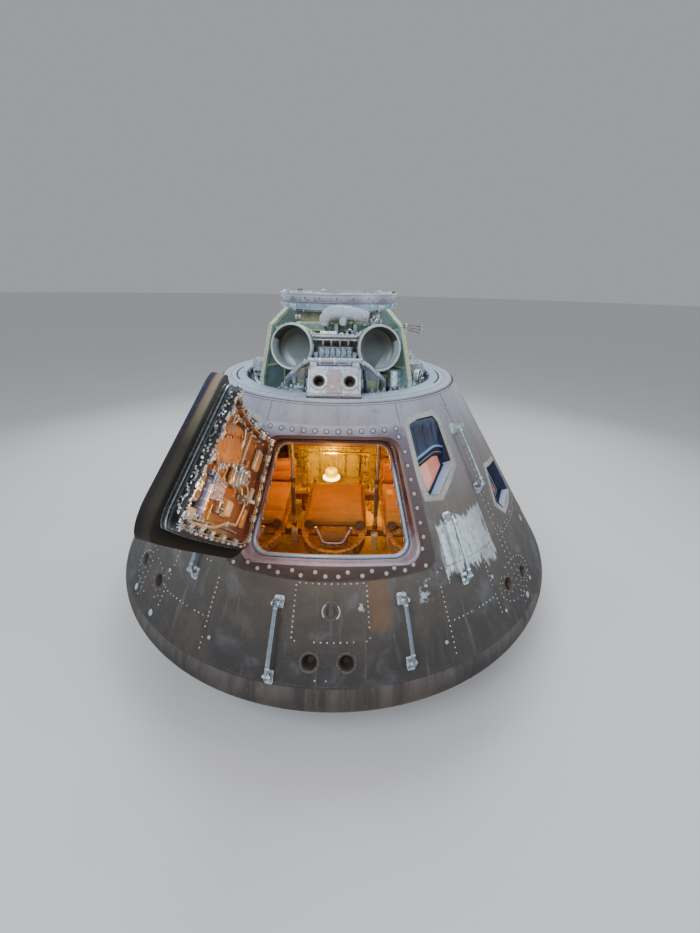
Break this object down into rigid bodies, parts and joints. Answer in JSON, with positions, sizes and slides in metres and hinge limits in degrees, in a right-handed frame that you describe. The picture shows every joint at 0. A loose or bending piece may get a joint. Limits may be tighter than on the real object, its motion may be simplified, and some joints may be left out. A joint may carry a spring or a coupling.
{
  "type": "space capsule crew module",
  "caption": "Conical re-entry capsule with its forward cover off, a side hatch swung open, crew couches inside and a docking tunnel with drogue mortars on top.",
  "frame": {"origin": "on the capsule's axis, at the lowest point of its base dish", "axes": "+Z along the axis towards the docking ring, -Y out of the side hatch, +X to the right seen from the hatch side"},
  "size_m": [3.9117, 4.2448, 2.748],
  "materials": {
    "charred_skin": "charred ablator with a blistered, streaked face",
    "aft_char": "deeply charred ablator",
    "seal_frame": "satin",
    "window_glass": "heat stained glass",
    "rail_metal": "worn satin",
    "deck_paint": "dusty matt",
    "tunnel_metal": "olive primer",
    "ring_metal": "worn satin",
    "green_primer": "matt primer",
    "mortar_metal": "dull",
    "nozzle_lining": "charred",
    "wrap_fabric": "taped cloth wrap",
    "inner_metal": "matt",
    "cabin_paint": "matt",
    "console_paint": "matt",
    "lamp_case": "matt",
    "couch_metal": "satin",
    "couch_fabric": "coated glass cloth",
    "hatch_inner": "satin",
    "mechanism_metal": "machined",
    "hinge_metal": "heat tinted"
  },
  "bodies": {
    "capsule": {"aft_heat_shield": "aft_char", "back_panel": "charred_skin", "cabin_floodlight": "lamp_case", "cabin_floor": "inner_metal", "couch_frame": "couch_metal", "couch_pads": "couch_fabric", "couch_struts": "couch_metal", "cross_beam": "green_primer", "deck_equipment": "deck_paint", "display_console": "console_paint", "docking_ring": "ring_metal", "docking_tunnel": "tunnel_metal", "drogue_mortars": "mortar_metal", "equipment_bays": "cabin_paint", "equipment_column": "deck_paint", "forward_deck": "deck_paint", "forward_gussets": "green_primer", "forward_handhold": "rail_metal", "front_hatch_panel": "charred_skin", "handrails": "rail_metal", "hatch_frame": "seal_frame", "headrests": "couch_fabric", "hinge_brackets": "hinge_metal", "left_side_panel": "charred_skin", "left_window_panel": "charred_skin", "pitch_engine_housing": "deck_paint", "reaction_nozzles": "nozzle_lining", "rendezvous_windows": "window_glass", "right_side_panel": "charred_skin", "right_window_panel": "charred_skin", "side_windows": "window_glass", "tunnel_hatch": "deck_paint", "wrapped_bundle": "wrap_fabric"},
    "side_hatch": {"hatch_heat_shield": "charred_skin", "hatch_structure": "hatch_inner", "hatch_window": "window_glass", "hatch_gearbox": "mechanism_metal", "hatch_handle": "mechanism_metal", "hatch_counterbalance": "mechanism_metal", "hatch_latches": "mechanism_metal", "hatch_hinge_arms": "hinge_metal"},
    "left_seat": {"left_seat_pan": "couch_metal", "left_seat_pad": "couch_fabric"},
    "centre_seat": {"centre_seat_pan": "couch_metal", "centre_seat_pad": "couch_fabric"},
    "right_seat": {"right_seat_pan": "couch_metal", "right_seat_pad": "couch_fabric"}
  },
  "joints": [
    {"name": "side_hatch_hinge", "type": "hinge", "parent": "capsule", "child": "side_hatch", "pos_m": [-0.53341, -1.23263, 1.61852], "axis": [0.1866, 0.5076, 0.8411], "range_deg": [-12, 94]},
    {"name": "left_seat_hinge", "type": "hinge", "parent": "capsule", "child": "left_seat", "pos_m": [-0.664, 0.014, 0.969], "axis": [1, 0, 0], "range_deg": [-166, 4]},
    {"name": "centre_seat_hinge", "type": "hinge", "parent": "capsule", "child": "centre_seat", "pos_m": [0, 0.014, 0.969], "axis": [1, 0, 0], "range_deg": [0, 168]},
    {"name": "right_seat_hinge", "type": "hinge", "parent": "capsule", "child": "right_seat", "pos_m": [0.664, 0.014, 0.969], "axis": [1, 0, 0], "range_deg": [-166, 4]}
  ]
}
